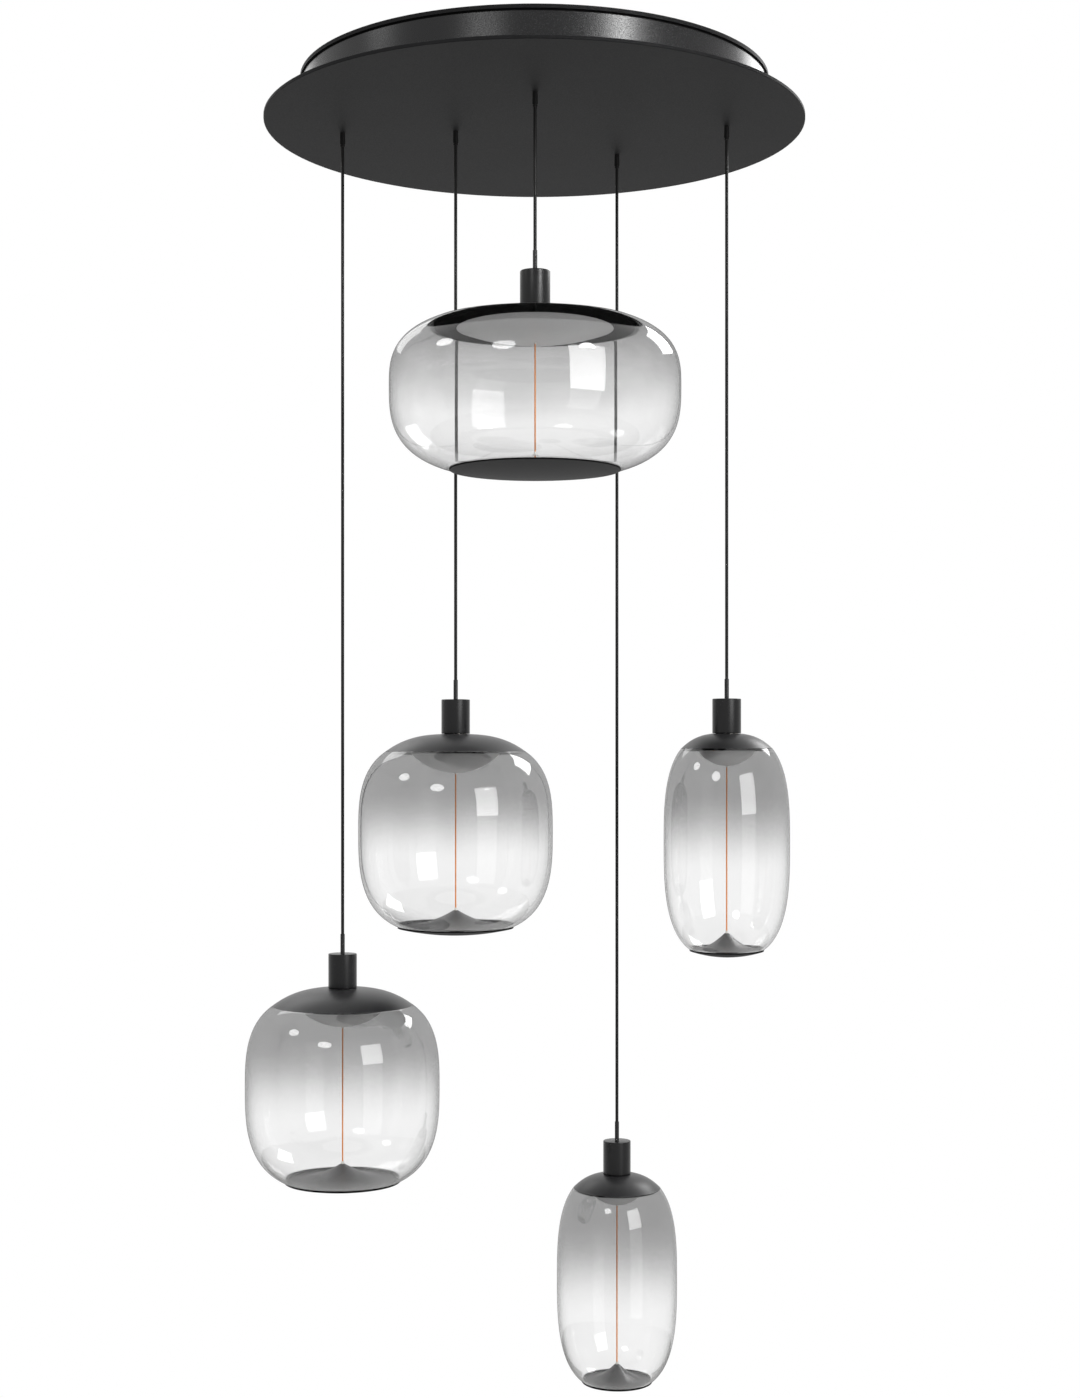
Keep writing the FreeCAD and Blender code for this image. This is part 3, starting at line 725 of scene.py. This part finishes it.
def filament(number):
    """A thin wire between two ferrules."""
    size = LAMPS[number]
    high = size["rim"] - SPIGOT_DEPTH - size["bowl"]
    low = size["base"] + size["cone"]
    outline = [
        (0, low), (FERRULE, low), (FERRULE, low + FERRULE_HEIGHT), (WIRE, low + FERRULE_HEIGHT),
        (WIRE, high - FERRULE_HEIGHT / 2), (FERRULE, high - FERRULE_HEIGHT / 2),
        (FERRULE, high), (0, high),
    ]
    piece = turned(f"wire_{number}", outline, size["axis"], tin, steps=24)
    levels = [low + FERRULE_HEIGHT, high - FERRULE_HEIGHT / 2 - 0.1]
    paint_by_height(piece, [copper, tin], levels)
    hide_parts(f"filament_{number}")
    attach(piece, f"bulb_{number}")


for number in LAMPS:
    bowl(number)
    base_disc(number)
    filament(number)
print("bowls, base discs and filaments turned")

# %% [markdown]
# ## Screw shells
#
# The bulb's screw shell is pressed from thin nickel plated brass. Its thread is a wave that
# climbs round the shell once in each turn: the radius swings between crest and root with
# the cosine of the height over the pitch less the angle. The wave dies out at both ends.

# %% Screw shells
CREST = 13.0
THREAD_DEPTH = 0.85
PITCH = 3.629
THREAD_ROWS = 120
RUN_OUT = 2.0
ROOT_INSET = 0.4
SHELL_HEIGHT = 22.0
SHELL_CROWN = 2.5
SHELL_WALL = 0.8
CONTACT_GAP = 0.05
CROWN_RADIUS = 7.0


def screw_shell(number):
    """r = crest - depth/2 (1 - cos(2 pi z / pitch - a)) on the outer wall, plain inside."""
    size = LAMPS[number]
    low = size["mouth"] - SHOULDER_DROP
    high = low + SHELL_HEIGHT
    wall = np.stack([np.full(THREAD_ROWS, CREST), np.linspace(low, high, THREAD_ROWS)], 1)
    top = high + SHELL_CROWN - CONTACT_GAP
    inside = CREST - SHELL_WALL
    outline = np.concatenate([
        wall,
        [(CROWN_RADIUS, top), (0, top), (0, top - SHELL_WALL), (CROWN_RADIUS, top - SHELL_WALL)],
        [(inside - ROOT_INSET, high - SHELL_WALL), (inside - ROOT_INSET, low)],
    ])

    def thread(r, z, a):
        rise = z - low
        ends = np.clip(rise / RUN_OUT, 0, 1) * np.clip((SHELL_HEIGHT - rise) / RUN_OUT, 0, 1)
        wave = THREAD_DEPTH / 2 * (1 - np.cos(2 * np.pi * rise / PITCH - a))
        bent = r - ends * wave - (1 - ends) * ROOT_INSET
        return np.where(r > CREST - 0.1, bent, r + 0 * a)

    piece = turned(
        f"shell_{number}", outline, size["axis"], nickel, steps=96, sharp=40, radius_of=thread
    )
    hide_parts(f"bulb_shell_{number}")
    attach(piece, f"bulb_{number}")


for number in LAMPS:
    screw_shell(number)
print("threads of pitch", PITCH, "mm")

# %% [markdown]
# ## Smoked glass
#
# The glass is a real shell with an outer and an inner wall, so that light bends and
# mirrors in it twice, as it does in blown glass. Three things make it look real:
#
# - The smoke is sprayed on from the mouth. It is even over the top fifth and has faded out
#   about three fifths of the way down, so the tint follows the height by Object coordinates,
#   and a slow noise lets the fade waver a little.
# - The wall looks dark where it is seen edge-on. Partly that is real, as the line of sight
#   runs far through the tinted wall there; partly it is painted shade, standing in for the
#   dark surroundings that edge-on glass would mirror. Layer Weight's Facing is one minus the
#   cosine of that angle. A power of it mixes in a dark glass that mirrors nothing, and a thin
#   painted dark outline appears.
# - Lamps can't shine through bent glass without a great many samples, so rays that look for
#   a lamp meet a plain see-through shader with the same tint instead.

# %% Smoked glass
CLEAR = 0.985
FADE_TOP = 0.20
WAVER = 5.0
WAVER_SCALE = 18.0
FACE_ON_LOSS = 0.02
# The power shapes the painted shade along the glass's outline.
PAINTED_EDGE_POWER = 5.2
GLASS_INDEX = 1.5
RIPPLE_SCALE = 30.0
RIPPLE_STRENGTH = 0.5
RIPPLE_DEPTH = 0.0001


def by_power(tree, value, power, factor, offset):
    """offset + factor x value^power."""
    raised = math_node(tree, "POWER", value, power)
    return math_node(tree, "MULTIPLY_ADD", raised, factor, offset)


def smoke_tint(tree, mouth, base, smoke, clear_from):
    """The tint by height: smoke above the fade, CLEAR below it, wavering by a few millimetres."""
    place = tree.nodes.new("ShaderNodeTexCoord")
    split = tree.nodes.new("ShaderNodeSeparateXYZ")
    tree.links.new(place.outputs["Object"], split.inputs["Vector"])
    waver = spread(tree, grain(tree, WAVER_SCALE, 2.0, (1, 1, 0.3)), -WAVER * MM, WAVER * MM)
    height = math_node(tree, "ADD", split.outputs["Z"], waver)
    fade = tree.nodes.new("ShaderNodeMapRange")
    fade.interpolation_type = "SMOOTHSTEP"
    fade.inputs["From Min"].default_value = (mouth - clear_from * (mouth - base)) * MM
    fade.inputs["From Max"].default_value = (mouth - FADE_TOP * (mouth - base)) * MM
    fade.inputs["To Min"].default_value = CLEAR
    fade.inputs["To Max"].default_value = smoke
    tree.links.new(height, fade.inputs["Value"])
    tint = tree.nodes.new("ShaderNodeCombineColor")
    for channel in ("Red", "Green", "Blue"):
        tree.links.new(fade.outputs["Result"], tint.inputs[channel])
    return tint.outputs["Color"]


def smoked_glass(name, size):
    """Clear glass x tint, edge^power of dark glass as painted edge shade, see-through for lamps."""
    material = bpy.data.materials.new(name)
    material.use_nodes = True
    tree = material.node_tree
    shader = tree.nodes["Principled BSDF"]
    shader.inputs["Roughness"].default_value = 0.0
    shader.inputs["IOR"].default_value = GLASS_INDEX
    shader.inputs["Transmission Weight"].default_value = 1.0
    tint = smoke_tint(tree, size["rim"], size["base"], size["smoke"], size["clear_from"])
    tree.links.new(tint, shader.inputs["Base Color"])
    ripple = tree.nodes.new("ShaderNodeBump")
    ripple.inputs["Strength"].default_value = RIPPLE_STRENGTH
    ripple.inputs["Distance"].default_value = RIPPLE_DEPTH
    tree.links.new(grain(tree, RIPPLE_SCALE, 1.0, (1, 1, 0.4)), ripple.inputs["Height"])
    tree.links.new(ripple.outputs["Normal"], shader.inputs["Normal"])
    # A dark glass that mirrors nothing paints shade along the outline, where edge-on glass would
    # mirror dark surroundings.
    painted_edge_shade_glass = tree.nodes.new("ShaderNodeBsdfRefraction")
    painted_edge_shade_glass.inputs["Color"].default_value = (0.02, 0.02, 0.02, 1)
    painted_edge_shade_glass.inputs["Roughness"].default_value = 0.0
    painted_edge_shade_glass.inputs["IOR"].default_value = GLASS_INDEX
    angle = tree.nodes.new("ShaderNodeLayerWeight")
    edge = by_power(tree, angle.outputs["Facing"], PAINTED_EDGE_POWER, 1 - FACE_ON_LOSS, FACE_ON_LOSS)
    with_painted_edge_shade = tree.nodes.new("ShaderNodeMixShader")
    tree.links.new(edge, with_painted_edge_shade.inputs[0])
    tree.links.new(shader.outputs[0], with_painted_edge_shade.inputs[1])
    tree.links.new(painted_edge_shade_glass.outputs[0], with_painted_edge_shade.inputs[2])
    half_tint = tree.nodes.new("ShaderNodeGamma")
    half_tint.inputs["Gamma"].default_value = 0.5
    tree.links.new(tint, half_tint.inputs["Color"])
    see_through = tree.nodes.new("ShaderNodeBsdfTransparent")
    tree.links.new(half_tint.outputs["Color"], see_through.inputs["Color"])
    path = tree.nodes.new("ShaderNodeLightPath")
    for_lamps = tree.nodes.new("ShaderNodeMixShader")
    tree.links.new(path.outputs["Is Shadow Ray"], for_lamps.inputs[0])
    tree.links.new(with_painted_edge_shade.outputs[0], for_lamps.inputs[1])
    tree.links.new(see_through.outputs[0], for_lamps.inputs[2])
    tree.links.new(for_lamps.outputs[0], tree.nodes["Material Output"].inputs["Surface"])
    return material


def blown_glass(number):
    """The outer side walked upwards and the inner side walked down again."""
    size = LAMPS[number]
    outline = np.concatenate([glass_outline(size, 0.0), glass_outline(size, GLASS_WALL)[::-1]])
    material = smoked_glass(f"smoked_glass_{number}", size)
    piece = turned(f"blown_glass_{number}", outline, size["axis"], material, steps=224, sharp=50)
    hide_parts(f"glass_{number}")
    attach(piece, f"bulb_{number}")
    return piece


for number in LAMPS:
    glass = blown_glass(number)
    print(glass.name, "has", len(glass.data.polygons), "faces")

# %% [markdown]
# ## Exhaust tubes
#
# The air leaves a blown bulb through a small glass tube, which is then sealed off. On four
# of the lamps what is left of it shows at the back as a clear finger against the wall,
# round at its upper end. It is turned like the rest, but its axis leans as the wall does:
# the wall's slope at its height gives that direction. Its wall is too thin to bend light, so
# it is see-through and mirrors as glass does, little face-on and fully along its outline:
# 0.02 + 0.98 f^5, where f is one minus the cosine of the angle of view. Each entry of TUBES
# gives a tube's direction, in degrees from the back, and how far its middle lies below the
# glass's mouth, in millimetres.

# %% Exhaust tubes
TUBES = {1: (33, 52.0), 2: (55, 52.0), 4: (-36, 44.0), 5: (-52, 52.0)}
TUBE_RADIUS = 6.0
TUBE_LENGTH = 30.0
TUBE_GAP = 0.2
FACE_ON_MIRROR = 0.02


def thin_glass(name):
    """See-through glass with no thickness, mirroring by the angle of view."""
    material = bpy.data.materials.new(name)
    material.use_nodes = True
    tree = material.node_tree
    mirror = tree.nodes["Principled BSDF"]
    mirror.inputs["Metallic"].default_value = 1.0
    mirror.inputs["Base Color"].default_value = (0.95, 0.95, 0.95, 1)
    tree.links.new(spread(tree, grain(tree, 120.0), 0.02, 0.08), mirror.inputs["Roughness"])
    clear = tree.nodes.new("ShaderNodeBsdfTransparent")
    clear.inputs["Color"].default_value = (1, 1, 1, 1)
    angle = tree.nodes.new("ShaderNodeLayerWeight")
    both = tree.nodes.new("ShaderNodeMixShader")
    share = by_power(tree, angle.outputs["Facing"], 5.0, 1 - FACE_ON_MIRROR, FACE_ON_MIRROR)
    tree.links.new(share, both.inputs[0])
    tree.links.new(clear.outputs[0], both.inputs[1])
    tree.links.new(mirror.outputs[0], both.inputs[2])
    tree.links.new(both.outputs[0], tree.nodes["Material Output"].inputs["Surface"])
    return material


tube_glass = thin_glass("tube_glass")


def exhaust_tube(number):
    """A round-ended tube with its axis along the glass's inner side."""
    size = LAMPS[number]
    degrees, below = TUBES[number]
    side = glass_outline(size, GLASS_WALL + TUBE_RADIUS + TUBE_GAP)
    z = size["rim"] - below
    r = np.interp(z, side[:, 1], side[:, 0])
    slope = np.interp(z + 1, side[:, 1], side[:, 0]) - r
    turn = math.radians(degrees)
    outwards = np.array([math.sin(turn), math.cos(turn), 0.0])
    upwards = outwards * slope + np.array([0.0, 0.0, 1.0])
    upwards /= np.linalg.norm(upwards)
    across = np.array([math.cos(turn), -math.sin(turn), 0.0])
    foot = np.array([*size["axis"], 0.0]) + (outwards * r + np.array([0, 0, z])) * MM
    a = np.linspace(0, np.pi / 2, 14)
    end = np.stack([np.cos(a), np.sin(a)], 1) * TUBE_RADIUS + [0, TUBE_LENGTH - TUBE_RADIUS]
    end[-1, 0] = 0
    outline = np.concatenate([[(0, 0), (TUBE_RADIUS, 0)], end]) - [0, TUBE_LENGTH / 2]
    tilt = np.stack([across, np.cross(upwards, across), upwards])
    piece = turned(f"tube_{number}", outline, foot, tube_glass, steps=48, tilt=tilt)
    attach(piece, f"bulb_{number}")


for number in TUBES:
    exhaust_tube(number)
print("tubes in lamps", list(TUBES))
